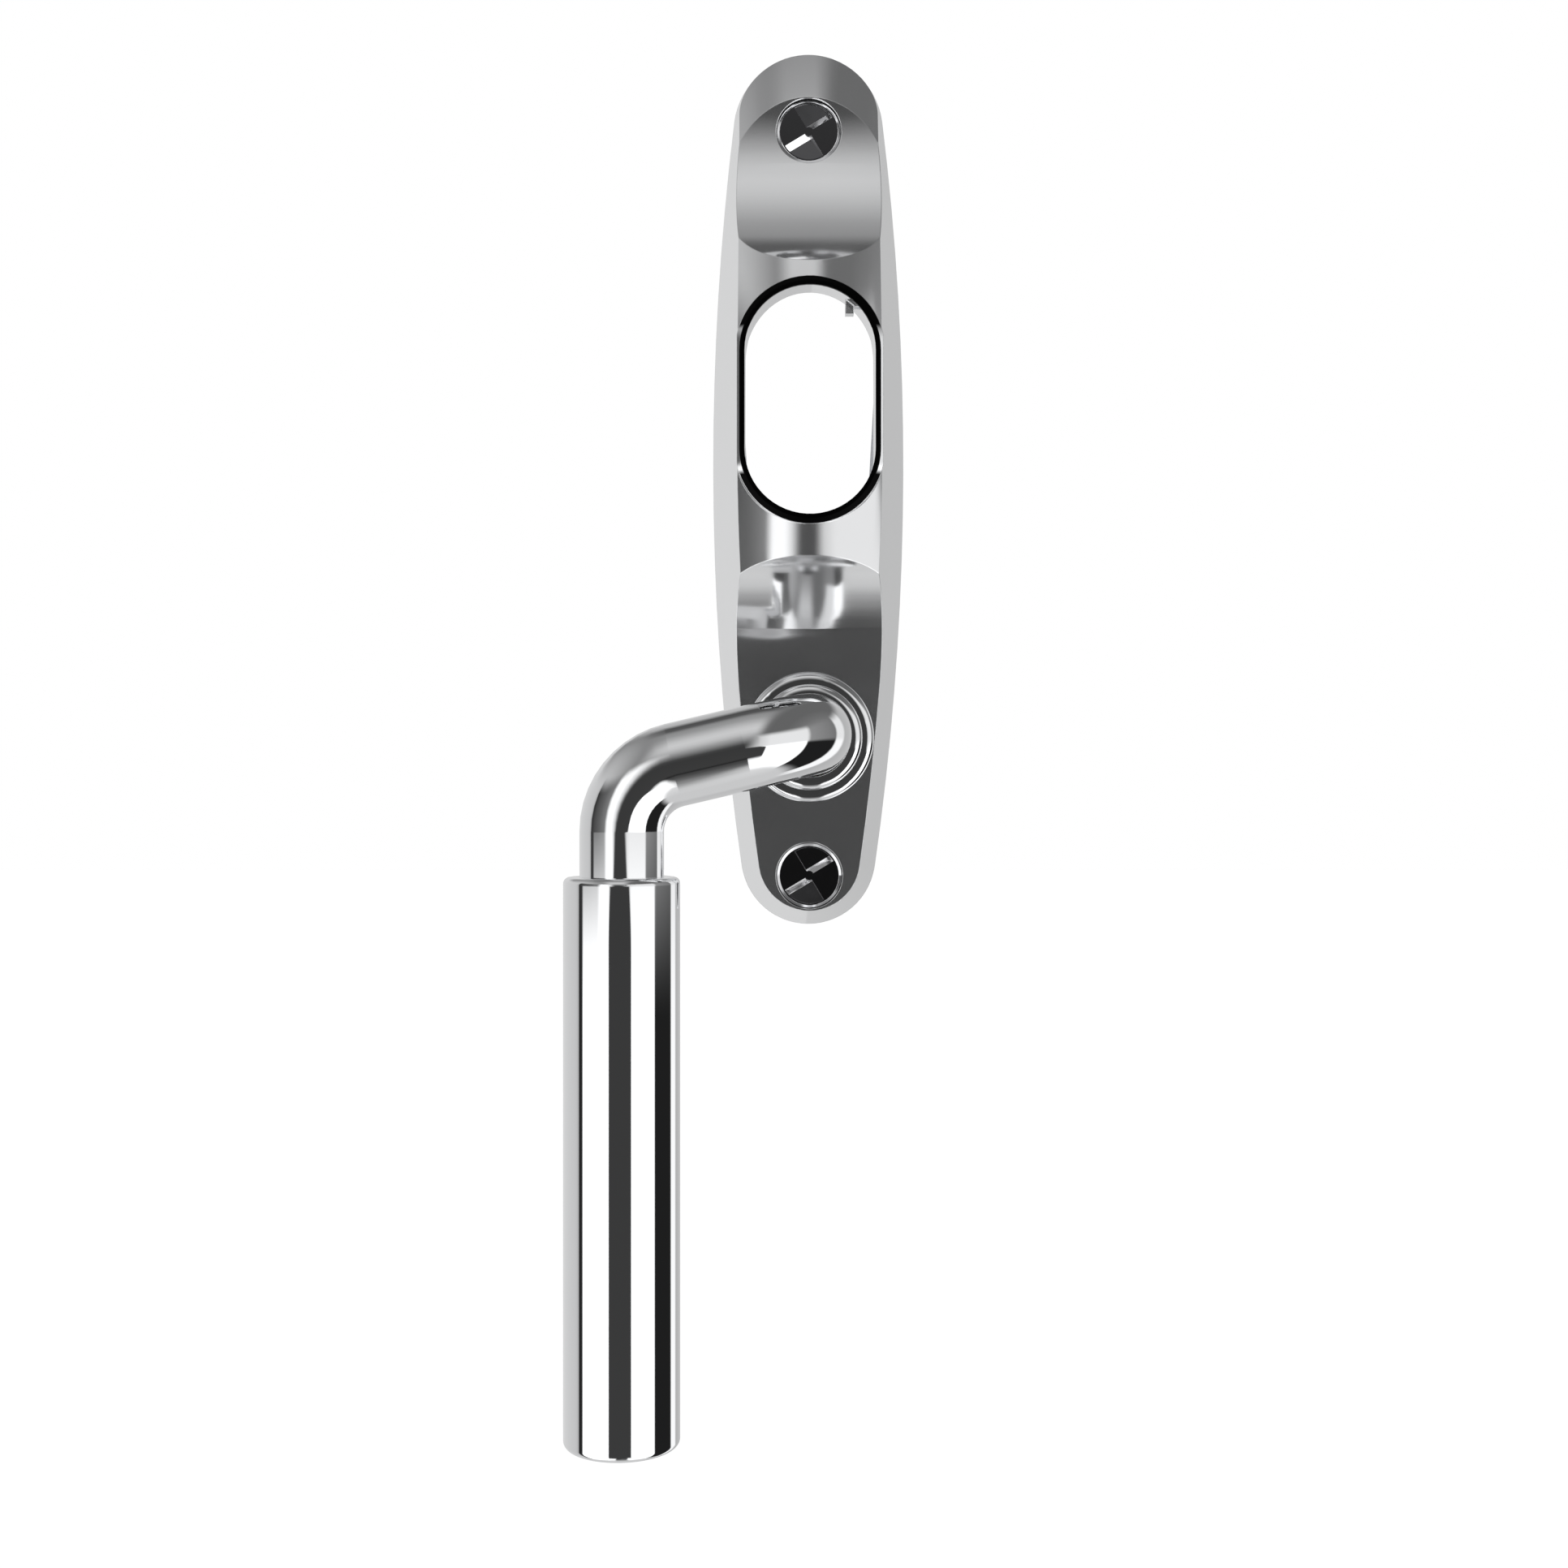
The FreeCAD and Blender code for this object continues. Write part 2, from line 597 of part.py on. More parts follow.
def fixing_screw(name, height, depth):
    """A one-way screw: two ramped quarters let a blade drive it in but not out."""
    head = rod(f"{name}_head", "screw_head_radius", f"{depth} - screw_head_length",
               "screw_head_length - screw_head_chamfer", z=height)
    bevel = cone(f"{name}_bevel", "screw_head_radius",
                 "screw_head_radius - screw_head_chamfer_width",
                 f"{depth} - screw_head_chamfer", "screw_head_chamfer", z=height)
    neck = rod(f"{name}_neck", "screw_neck_radius", "0", f"{depth} - screw_head_length", z=height)
    thread = rod(f"{name}_thread", "screw_thread_radius", "-screw_thread_length",
                 "screw_thread_length", z=height)
    point = cone(f"{name}_point", "screw_thread_radius / 2", "screw_thread_radius",
                 "-screw_thread_length - screw_point_length", "screw_point_length", z=height)
    solid = fuse(f"{name}_solid", head, bevel, neck, thread, point)
    recesses = []
    for count, extra in enumerate(("0", "180")):
        turn = f"rotation(vector(1; 0; 0); 90) * rotation(vector(0; 0; 1); drive_turn + {extra})"
        sector = new("Part::Cylinder", f"{name}_sector_{count}")
        bind(sector, Radius="drive_radius", Height="2 * drive_depth", Angle="90")
        put(sector, spot("0", f"{depth} - drive_depth", height), turn)
        ramp = new("Part::Box", f"{name}_ramp_{count}")
        bind(ramp, Length="2 * drive_radius", Width="2 * drive_radius", Height="3 * drive_depth")
        put(ramp, spot("0", f"{depth} - drive_depth", height),
            f"{turn} * rotation(vector(1; 0; 0); drive_ramp)")
        wall = new("Part::Box", f"{name}_wall_{count}")
        bind(wall, Length="2 * drive_radius", Width="2 * drive_radius", Height="2 * drive_radius")
        put(wall, spot("0", depth, height),
            f"{turn} * rotation(vector(1; 0; 0); -drive_wall_lean)")
        hub = rod(f"{name}_hub_{count}", "drive_hub_radius", f"{depth} - 2 * drive_depth",
                  "4 * drive_depth", z=height)
        wedge = common(f"{name}_wedge_{count}", sector, ramp, wall)
        recesses.append(cut(f"{name}_recess_{count}", wedge, hub))
    return cut(f"{name}_whole", solid, *recesses)


def fixing_screws():
    return group("fixing_screws", *[fixing_screw(*screw) for screw in FIXING_SCREWS])


def collar():
    """The stepped, rounded ring that stands on the seat round the lever's neck."""
    flange_top = "seat_depth + collar_flange_length"
    end = "seat_depth + collar_length"
    counterbore = f"{BUSH_FRONT} + assembly_gap"
    return turned("collar", [
        (f"{BUSH_RADIUS} + assembly_gap", "seat_depth"),
        ("collar_flange_radius", "seat_depth"),
        ("collar_flange_radius", flange_top),
        ("collar_ring_radius", flange_top),
        ("collar_ring_radius", end),
        ("bar_radius + moving_gap", end),
        ("bar_radius + moving_gap", counterbore),
        (f"{BUSH_RADIUS} + assembly_gap", counterbore),
    ], [("collar_flange_radius", flange_top, "collar_round"),
        ("collar_ring_radius", end, "collar_round")])


def bush():
    """A plain plastic bearing with a flange behind the casting's front wall."""
    wall_back = "seat_depth - front_wall"
    return turned("bush", [
        ("bar_radius + running_gap", BUSH_BACK),
        ("bush_flange_radius", BUSH_BACK),
        ("bush_flange_radius", wall_back),
        (BUSH_RADIUS, wall_back),
        (BUSH_RADIUS, BUSH_FRONT),
        ("bar_radius + running_gap", BUSH_FRONT),
    ])


def spring_washer():
    """A dished washer that takes up the play between the bush and the lever's washer."""
    inner = "bar_radius + moving_gap"
    back = f"{BUSH_BACK} - spring_washer_length"
    return turned("spring_washer", [
        (inner, back),
        ("washer_radius", f"{BUSH_BACK} - spring_washer_thickness"),
        ("washer_radius", BUSH_BACK),
        (inner, f"{back} + spring_washer_thickness"),
    ])


# ---- click parts ----

def click_disc():
    """A disc on the lever's flats: a ball track with four notches, and a stop slot."""
    disc = rod("disc_blank", "disc_radius", DISC_BACK, "disc_length")
    track = new("Part::Torus", "disc_track")
    bind(track, Radius1=BALL_Z, Radius2="ball_radius + assembly_gap")
    put(track, spot("0", DISC_MIDDLE, "0"), FRONTWARD)
    cutters = [track]
    for count in range(4):
        notch = new("Part::Sphere", f"disc_notch_{count}")
        bind(notch, Radius="ball_radius + assembly_gap")
        reach = f"({BALL_Z} - notch_depth)"
        put(notch, spot(f"{reach} * cos({90 * count} * 1deg)", DISC_MIDDLE,
                        f"{reach} * sin({90 * count} * 1deg)"))
        cutters.append(notch)
    hole = common("disc_hole", rod("disc_hole_round", f"{TENON_RADIUS} + running_gap", "0", "crest_depth"),
                  block("disc_hole_flats", f"-({TENON_FLAT} + running_gap)", f"{TENON_FLAT} + running_gap",
                        "0", "crest_depth", "-washer_radius", "washer_radius"))
    cutters.append(hole)
    cutters.append(stop_slot())
    return cut("click_disc", disc, *cutters)


def stop_slot():
    """A round-ended arc slot that lets the disc turn by the opening angle about the pin."""
    length = f"stop_pin_front_depth + assembly_gap - {DISC_BACK}"
    half = "stop_slot_length / 2"
    sectors = []
    for name, radius in (("outer", f"stop_circle_radius + {half}"),
                         ("inner", f"stop_circle_radius - {half}")):
        sector = new("Part::Cylinder", f"slot_{name}")
        bind(sector, Radius=radius, Height=length, Angle="opening_angle")
        put(sector, spot("0", DISC_BACK, "0"), f"{FRONTWARD} * rotation(vector(0; 0; 1); stop_pin_angle)")
        sectors.append(sector)
    ends = []
    for name, angle in (("closed", "stop_pin_angle"), ("open", "(stop_pin_angle + opening_angle)")):
        ends.append(rod(f"slot_{name}_end", half, DISC_BACK, length,
                        x=f"stop_circle_radius * cos({angle} * 1deg)",
                        z=f"stop_circle_radius * sin({angle} * 1deg)"))
    return fuse("stop_slot", cut("slot_arc", *sectors), *ends)


def stop_pin():
    return rod("stop_pin", "stop_pin_radius", "0", "stop_pin_front_depth", x=STOP_X, z=STOP_Z)


def detent_block():
    """A plastic block with an upright bore that guides the ball and its spring."""
    body = block("detent_blank", "-block_half_width", "block_half_width", "plate_thickness",
                 "block_front_depth", "block_foot", "block_top")
    bore = upright_rod("detent_bore", "ball_radius + running_gap", "0",
                       f"{BALL_Z} + ball_radius + spring_length")
    return cut("detent_block", body, bore)


def detent_ball():
    ball = new("Part::Sphere", "detent_ball")
    bind(ball, Radius="ball_radius")
    return put(ball, spot("0", DISC_MIDDLE, BALL_Z))


def detent_spring():
    """A coil spring of square wire that stands between the ball and the bore's closed end."""
    coil = new("Part::Helix", "spring_line")
    bind(coil, Radius="spring_coil_radius", Pitch="spring_pitch",
         Height="spring_length - ball_radius / 2")
    foot = f"{BALL_Z} + ball_radius * 1.25"
    put(coil, spot("0", DISC_MIDDLE, foot))
    wire = new("Part::RegularPolygon", "spring_wire")
    wire.Polygon = 4
    bind(wire, Circumradius="spring_wire_half_diagonal")
    put(wire, spot("spring_coil_radius", DISC_MIDDLE, foot), "rotation(vector(1; 0; 0); 90)")
    doc.recompute()
    spring = new("Part::Sweep", "detent_spring")
    spring.Sections = [wire]
    spring.Spine = (coil, [f"Edge{i}" for i in range(1, len(coil.Shape.Edges) + 1)])
    spring.Solid = True
    spring.Frenet = True
    return spring


# ---- lever and what turns with it ----

def lever_bar():
    """One round bar: neck, square-on elbow, sloping arm, second bend and grip end."""
    elbow_depth = "(arm_depth - bend_radius)"
    sine = "sin(arm_drop_angle * 1deg)"
    cosine = "cos(arm_drop_angle * 1deg)"
    tilt = "rotation(vector(0; 1; 0); -arm_drop_angle)"
    neck = rod("neck", "bar_radius", "tenon_depth", f"{elbow_depth} - tenon_depth")
    tenon = common("tenon",
                   rod("tenon_round", TENON_RADIUS, "neck_end_depth", "tenon_depth - neck_end_depth"),
                   block("tenon_flats", f"-{TENON_FLAT}", TENON_FLAT, "0", "crest_depth",
                         "-washer_radius", "washer_radius"))
    elbow = new("Part::Torus", "elbow")
    bind(elbow, Radius1="bend_radius", Radius2="bar_radius", Angle3="90")
    put(elbow, spot(f"-bend_radius * {cosine}", elbow_depth, f"-bend_radius * {sine}"),
        f"{tilt} * rotation(vector(1; 0; 0); 180)")
    # distance along the arm from the lever's axis to where the second bend begins
    arm_end = f"((grip_offset - bend_radius * (1 - {sine})) / {cosine})"
    arm = new("Part::Cylinder", "arm")
    bind(arm, Radius="bar_radius", Height=f"{arm_end} - bend_radius")
    put(arm, spot(f"-bend_radius * {cosine}", "arm_depth", f"-bend_radius * {sine}"),
        f"{tilt} * rotation(vector(0; 1; 0); -90)")
    bend_x = "(bend_radius - grip_offset)"
    bend_z = f"(-{arm_end} * {sine} - bend_radius * {cosine})"
    bend = new("Part::Torus", "bend")
    bind(bend, Radius1="bend_radius", Radius2="bar_radius", Angle3="90 - arm_drop_angle")
    put(bend, spot(bend_x, "arm_depth", bend_z),
        f"{FRONTWARD} * rotation(vector(0; 0; 1); 90 + arm_drop_angle)")
    grip_end = upright_rod("grip_end", "bar_radius", BAR_END_Z, f"{bend_z} - {BAR_END_Z}",
                           x="-grip_offset", depth="arm_depth")
    solid = fuse("lever_solid", tenon, neck, elbow, arm, bend, grip_end)
    socket = block("spindle_socket", f"-({SOCKET_HALF})", SOCKET_HALF, "0",
                   "spindle_front_depth + assembly_gap", f"-({SOCKET_HALF})", SOCKET_HALF)
    groove_back = f"{CLIP_BACK} - assembly_gap"
    groove_length = "clip_length + 2 * assembly_gap"
    clip_groove = cut("clip_groove",
                      rod("groove_outer", "2 * bar_radius", groove_back, groove_length),
                      rod("groove_inner", GROOVE_RADIUS, groove_back, groove_length))
    pin_hole = roller("pin_hole", "spindle_pin_radius", "bar_radius + 1", PIN_DEPTH, "0")
    thread = upright_rod("grip_thread", "grip_screw_radius", f"{BAR_END_Z} - 1",
                         "grip_screw_length - grip_shoulder - assembly_gap + 1",
                         x="-grip_offset", depth="arm_depth")
    return cut("lever_bar", solid, socket, clip_groove, pin_hole, thread)


def grip_turned(label, points, rounds=()):
    """A body turned about the grip's upright axis; its stations are heights."""
    return turned(label, points, rounds, spot("-grip_offset", "arm_depth", "0"), UPWARD)


def grip_sleeve():
    """The thick tube in the hand, with a shoulder inside that the grip screw pulls on."""
    hole = "grip_screw_radius + assembly_gap"
    return grip_turned("grip_sleeve", [
        (GRIP_BORE, GRIP_TOP),
        ("grip_radius", GRIP_TOP),
        ("grip_radius", GRIP_FOOT),
        (GRIP_BORE, GRIP_FOOT),
        (GRIP_BORE, SHOULDER_FOOT),
        (hole, SHOULDER_FOOT),
        (hole, SHOULDER_TOP),
        (GRIP_BORE, SHOULDER_TOP),
    ], [("grip_radius", GRIP_TOP, "grip_edge"), ("grip_radius", GRIP_FOOT, "grip_edge")])


def grip_screw():
    """The screw inside the grip that draws the sleeve up onto the bar."""
    head_foot = f"{SHOULDER_FOOT} - grip_screw_radius"
    key = "grip_screw_radius / 2"
    return grip_turned("grip_screw", [
        ("0", f"{SHOULDER_FOOT} + grip_screw_length"),
        ("grip_screw_radius", f"{SHOULDER_FOOT} + grip_screw_length"),
        ("grip_screw_radius", SHOULDER_FOOT),
        ("grip_screw_head_radius", SHOULDER_FOOT),
        ("grip_screw_head_radius", head_foot),
        (key, head_foot),
        (key, f"{head_foot} + {key}"),
        ("0", f"{head_foot} + {key}"),
    ])


def grip_cap():
    """The plug that closes the sleeve's lower end."""
    return grip_turned("grip_cap", [
        ("0", f"{GRIP_FOOT} + grip_cap_length"),
        ("bar_radius", f"{GRIP_FOOT} + grip_cap_length"),
        ("bar_radius", GRIP_FOOT),
        ("0", GRIP_FOOT),
    ])


def spindle():
    """The square bar that drives the lock in the sash, with broken edges and a pin hole."""
    length = "spindle_front_depth + spindle_reach"
    square = block("spindle_square", "-spindle_side / 2", "spindle_side / 2", "-spindle_reach",
                   "spindle_front_depth", "-spindle_side / 2", "spindle_side / 2")
    across = "(2 * spindle_side - 2 * spindle_edge) / sqrt(2)"
    diamond = new("Part::Box", "spindle_edges")
    bind(diamond, Length=across, Width=across, Height=length)
    centred = f"placement(vector(-({across}) / 2; -({across}) / 2; 0); {UPRIGHT})"
    eighth_turn = f"{FRONTWARD} * rotation(vector(0; 0; 1); 45)"
    bind(diamond, Placement=f"placement({spot('0', '-spindle_reach', '0')}; {eighth_turn}) * {centred}")
    bar = common("spindle_bar", square, diamond)
    hole = roller("spindle_pin_hole", "spindle_pin_radius", "spindle_side", PIN_DEPTH, "0")
    return cut("spindle", bar, hole)


def spindle_pin():
    """The cross pin, hidden in the bush, that holds the spindle in the lever."""
    return roller("spindle_pin", "spindle_pin_radius", PIN_HALF, PIN_DEPTH, "0")


def thrust_washer():
    front = f"{THRUST_BACK} + thrust_washer_length"
    inner = "bar_radius + assembly_gap"
    return turned("thrust_washer", [(inner, THRUST_BACK), ("washer_radius", THRUST_BACK),
                                    ("washer_radius", front), (inner, front)])


def retaining_clip():
    """An open spring clip in the lever's groove, which keeps the lever in the shield."""
    ring = cut("clip_ring", rod("clip_outer", CLIP_RADIUS, CLIP_BACK, "clip_length"),
               rod("clip_inner", f"{GROOVE_RADIUS} + running_gap", CLIP_BACK, "clip_length"))
    mouth = block("clip_mouth_cut", "-clip_mouth / 2", "clip_mouth / 2", "0", "crest_depth",
                  "-2 * washer_radius", "0")
    return cut("retaining_clip", ring, mouth)


# ---- build, check and write ----

NODES = [
    shield_casting(), back_plate(), plate_screws(), fixing_screws(), collar(), bush(),
    spring_washer(), stop_pin(), detent_block(), detent_ball(), detent_spring(),
    lever_bar(), grip_sleeve(), grip_screw(), grip_cap(), spindle(), spindle_pin(),
    thrust_washer(), retaining_clip(), click_disc(),
]
doc.recompute()

failed = [thing.Label for thing in doc.Objects if {"Invalid", "Error"} & set(thing.State)]
if failed:
    raise RuntimeError(f"failed to build: {failed}")
for node in NODES:
    if node.Shape.isNull() or not node.Shape.isValid() or not node.Shape.Solids:
        raise RuntimeError(f"bad shape: {node.Label}")

os.makedirs("parts", exist_ok=True)
for node in NODES:
    node.Shape.exportStep(f"parts/{node.Label}.step")
    print(f"{node.Label}: {len(node.Shape.Solids)} solid(s), {node.Shape.Volume:.0f} mm3")
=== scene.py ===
# %% [markdown]
# # A window fastener in polished chrome
# The object is a long shield that screws to a window, with a cranked lever and a round grip.
# Its shapes come from a imported CAD model, so they are settled before this lesson starts.
# What is left for Blender is how it looks. Chrome has almost no colour of its own: it shows
# the room round it. So this lesson spends its time on two things, the room and the finishes.

# %% [markdown]
# ## Load the model
# The imported model comes first and stays as it is: no part is moved and no mesh is changed.
# Its box is measured at the start.

# %% Load the model
import bpy
import math
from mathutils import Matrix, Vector


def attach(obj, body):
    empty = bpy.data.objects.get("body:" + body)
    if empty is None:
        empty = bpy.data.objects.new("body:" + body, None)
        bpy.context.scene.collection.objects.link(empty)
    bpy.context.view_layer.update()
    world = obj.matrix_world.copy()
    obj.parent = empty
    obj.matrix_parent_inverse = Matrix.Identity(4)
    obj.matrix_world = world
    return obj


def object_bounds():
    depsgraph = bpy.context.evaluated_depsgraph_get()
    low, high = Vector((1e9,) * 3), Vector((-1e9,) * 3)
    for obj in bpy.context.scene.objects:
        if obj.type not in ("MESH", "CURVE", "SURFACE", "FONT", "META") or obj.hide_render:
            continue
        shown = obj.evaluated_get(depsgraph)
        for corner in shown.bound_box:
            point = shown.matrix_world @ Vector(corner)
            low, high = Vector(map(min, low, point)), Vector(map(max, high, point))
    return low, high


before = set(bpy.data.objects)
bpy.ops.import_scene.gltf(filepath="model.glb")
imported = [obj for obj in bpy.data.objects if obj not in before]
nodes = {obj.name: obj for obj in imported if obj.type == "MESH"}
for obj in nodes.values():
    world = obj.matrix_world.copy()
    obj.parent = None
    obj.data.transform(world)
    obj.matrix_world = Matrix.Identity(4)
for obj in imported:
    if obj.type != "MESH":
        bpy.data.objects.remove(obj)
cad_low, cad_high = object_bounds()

scene = bpy.context.scene
MM = 0.001
print("nodes:", len(nodes), "height in mm:", round((cad_high.z - cad_low.z) / MM, 1))

# %% [markdown]
# ## The camera
# The fastener is seen straight on, from close by, with a lens a little longer than normal.
# A camera that isn't tilted keeps the grip's sides upright. It stands a little left of the
# lever's axis and below it, so the inside of the oval shows only at its top.

# %% Set up the camera
CAMERA_PLACE = Vector((-4.3, -345, -7.9)) * MM
LENS_MM = 44.7
NEAREST_SEEN = 10 * MM
camera = bpy.data.objects.new("camera", bpy.data.cameras.new("camera"))
scene.collection.objects.link(camera)
camera.location = CAMERA_PLACE
camera.rotation_euler = (math.pi / 2, 0, 0)
camera.data.lens = LENS_MM
camera.data.clip_start = NEAREST_SEEN
scene.camera = camera
scene.view_settings.view_transform = "Standard"
print("camera stands", round(-camera.location.y / MM), "mm in front of the back plane")

# %% [markdown]
# ## Node trees in few words
# A finish or a studio is a tree of small nodes. Wiring each one by hand takes many lines, so
# one small class holds a tree and adds nodes, sums and ramps. It is used for the studio
# first, and then each finish is built on it.

# %% A node tree that is easy to write


class Tree:
    """A node tree with short ways to add nodes and join them."""

    def __init__(self, tree):
        self.tree = tree

    def node(self, kind, inputs=(), **settings):
        """Add a node, set its settings, and feed its inputs by name."""
        made = self.tree.nodes.new(kind)
        for name, value in settings.items():
            setattr(made, name, value)
        for name, value in dict(inputs).items():
            self.feed(made.inputs[name], value)
        return made

    def feed(self, socket, value):
        """Give a socket a number, or a link when the value is another node's output."""
        if isinstance(value, bpy.types.NodeSocket):
            self.tree.links.new(value, socket)
        else:
            socket.default_value = value

    def sum(self, operation, *values):
        """Do one sum, such as ADD or MULTIPLY, on numbers or on other nodes' outputs."""
        made = self.tree.nodes.new("ShaderNodeMath")
        made.operation = operation
        for socket, value in zip(made.inputs, values):
            self.feed(socket, value)
        return made.outputs[0]

    def step(self, value, start, end, low=0.0, high=1.0):
        """Go smoothly from low to high while value goes from start to end."""
        made = self.node("ShaderNodeMapRange", interpolation_type="SMOOTHSTEP",
                         inputs={"Value": value, "From Min": start, "From Max": end,
                                 "To Min": low, "To Max": high})
        return made.outputs["Result"]

    def mix(self, first, second, share):
        """Mix two numbers: share 0 gives the first and share 1 the second."""
        made = self.tree.nodes.new("ShaderNodeMix")
        for socket, value in zip(made.inputs[:1] + made.inputs[2:4], (share, first, second)):
            self.feed(socket, value)
        return made.outputs[0]

    def blend(self, first, second, share):
        """Mix two colours in the same way."""
        made = self.node("ShaderNodeMix", data_type="RGBA",
                         inputs={0: share, 6: first, 7: second})
        return made.outputs[2]

    def ramp(self, value, low, high, stops):
        """Look a value up in a list of (position, grey level) stops between low and high."""
        place = self.node("ShaderNodeMapRange", inputs={"Value": value, "From Min": low,
                                                        "From Max": high})
        made = self.node("ShaderNodeValToRGB", inputs={"Fac": place.outputs["Result"]})
        band = made.color_ramp.elements
        while len(band) < len(stops):
            band.new(0.5)
        for element, (position, level) in zip(band, stops):
            element.position = (position - low) / (high - low)
            element.color = (level, level, level, 1)
        return made.outputs["Color"]


# %% [markdown]
# ## The studio
# Polished metal is lit between large white screens with dark gaps beside them. The gaps
# draw the black lines that tell the eye "this is chrome". Here the screens are painted on
# the world's sky by direction. Two lists of greys go round the horizon, two go from below
# through the front and overhead to the back, and one goes from left to right. Painting the
# light keeps every reflection free of noise, and the same studio stands round the object
# wherever one looks from.
#
# The dark gap in front is cut out of the white between the two screens. Low down its edges
# are crisp, and they draw the grip's stripes. Higher up the gap is narrower and softer, as
# where the screens lean towards each other, and the left screen ends early, which shades the
# crown. Under the gap a white card fills in from both sides and leaves only a narrow shadow
# in the middle. Above it all the sky is brighter on the left than on the right.

# %% The light in every direction
HALF_TURN = 180
ROUND_THE_HORIZON = [  # degrees from the front, right is positive; then the light there
    (-180, 0.68), (-150, 0.72), (-96, 0.62), (-89, 0.5), (-87, 0.02), (-79, 0.02), (-76, 1.5),
    (71, 1.5), (73, 0.015), (116, 0.015), (119, 1.1), (133, 1.1), (138, 0.5), (180, 0.6),
]
JUST_ABOVE = [  # the same degrees, over the top of the screens in front
    (-180, 0.68), (-150, 0.72), (-96, 0.62), (-89, 0.5), (-87, 0.03), (-76, 0.08), (-60, 0.13),
    (-44, 0.22), (-37, 1.2), (-24, 1.2), (-12, 0.5), (-7, 0.16), (0, 0.16), (5, 0.5), (12, 0.66),
    (26, 0.9), (71, 0.9), (76, 0.3), (116, 0.2), (119, 0.9), (133, 0.9), (138, 0.5), (180, 0.6),
]
UNDER_FRONT_OVER = [  # degrees up from the front; 90 is overhead and -90 is straight down
    (-180, 0.65), (-90, 0.66), (-62, 0.8), (-52, 1.2), (-33, 1.15), (-27, 0.05), (3, 0.045),
    (9.5, 0.06), (16.5, 0.17), (24, 0.32), (32, 0.48), (40, 0.61), (49, 0.67), (58, 0.62),
    (68, 0.5), (80, 0.36), (92, 0.29), (102, 0.1), (115, 0.08), (130, 0.5), (180, 0.7),
]
SHADOW_UNDER_GAP = [  # the same degrees; how much of the light is left in the middle
    (-180, 1), (-86, 1), (-73, 0.82), (-55, 0.25), (-45, 0.12), (-36, 0.06), (-28, 0.05),
    (-26, 1), (180, 1),
]
LEFT_OVER_RIGHT = [  # degrees to the side of straight ahead; the sky above the screens
    (-90, 0.85), (-70, 0.66), (-57, 0.55), (-44, 0.42), (-31, 0.28), (-17, 0.22), (8, 0.22),
    (20, 0.14), (37, 0.14), (51, 0.18), (66, 0.26), (90, 0.35),
]

# %% [markdown]
# Some of these lists only count in one part of the sky. The pairs below say, in degrees,
# between which two heights or sideways angles one list gives way to the next. Everything
# changes over smoothly, as light does between soft screens.

# %% Where one light gives way to the next
SCREEN_TOP = (-7, 0)
OUTER_LEFT, OUTER_RIGHT = (-13, -30), (3, 17)
OUTER_HEIGHT = (5, 20)
SHADOW_LEFT, SHADOW_RIGHT = (-8, -4), (13, 8)
GAP_NARROWS = (-5, 1)
GAP_LEFT, GAP_RIGHT = (-21, -12), (23, 10)
CRISP, SOFTER_BY = 1, 5
SKY_BEGINS = (20, 33)
GROUND_BEGINS = (-48, -62)

# %% Paint the screens on the sky
WHITE = (1, 1, 1, 1)
world = bpy.data.worlds.new("studio")
world.use_nodes = True
world.node_tree.nodes.clear()
scene.world = world
sky = Tree(world.node_tree)
way = sky.node("ShaderNodeTexCoord").outputs["Generated"]
along = sky.node("ShaderNodeSeparateXYZ", inputs={"Vector": way}).outputs
frontward = sky.sum("MULTIPLY", along["Y"], -1.0)
degrees = HALF_TURN / math.pi
azimuth = sky.sum("MULTIPLY", sky.sum("ARCTAN2", along["X"], frontward), degrees)
pitch = sky.sum("MULTIPLY", sky.sum("ARCTAN2", along["Z"], frontward), degrees)
height = sky.sum("MULTIPLY", sky.sum("ARCSINE", along["Z"]), degrees)
aside = sky.sum("MULTIPLY", sky.sum("ARCSINE", along["X"]), degrees)

screens = sky.mix(sky.ramp(azimuth, -HALF_TURN, HALF_TURN, ROUND_THE_HORIZON),
                  sky.ramp(azimuth, -HALF_TURN, HALF_TURN, JUST_ABOVE),
                  sky.step(height, *SCREEN_TOP))
outer = sky.sum("MAXIMUM", sky.step(aside, *OUTER_LEFT), sky.step(aside, *OUTER_RIGHT))
overhead = sky.mix(sky.ramp(pitch, -HALF_TURN, HALF_TURN, UNDER_FRONT_OVER),
                   sky.ramp(aside, -HALF_TURN / 2, HALF_TURN / 2, LEFT_OVER_RIGHT),
                   sky.sum("MULTIPLY", outer, sky.step(height, *OUTER_HEIGHT)))
shadow = sky.ramp(pitch, -HALF_TURN, HALF_TURN, SHADOW_UNDER_GAP)
shaded = sky.sum("MULTIPLY", sky.step(aside, *SHADOW_LEFT), sky.step(aside, *SHADOW_RIGHT))
overhead = sky.sum("MULTIPLY", overhead, sky.mix(1.0, shadow, shaded))

narrowed = sky.step(height, *GAP_NARROWS)
softness = sky.sum("ADD", sky.sum("MULTIPLY", narrowed, SOFTER_BY), CRISP)
left_edge = sky.mix(*GAP_LEFT, narrowed)
right_edge = sky.mix(*GAP_RIGHT, narrowed)
in_gap = sky.sum("MULTIPLY",
                 sky.step(azimuth, sky.sum("SUBTRACT", left_edge, softness),
                          sky.sum("ADD", left_edge, softness)),
                 sky.step(azimuth, sky.sum("ADD", right_edge, softness),
                          sky.sum("SUBTRACT", right_edge, softness)))
above = sky.step(height, *SKY_BEGINS)
below = sky.step(height, *GROUND_BEGINS)
share = sky.sum("MAXIMUM", in_gap, sky.sum("MAXIMUM", above, below))
light = sky.mix(screens, overhead, share)
seen = sky.node("ShaderNodeLightPath").outputs["Is Camera Ray"]
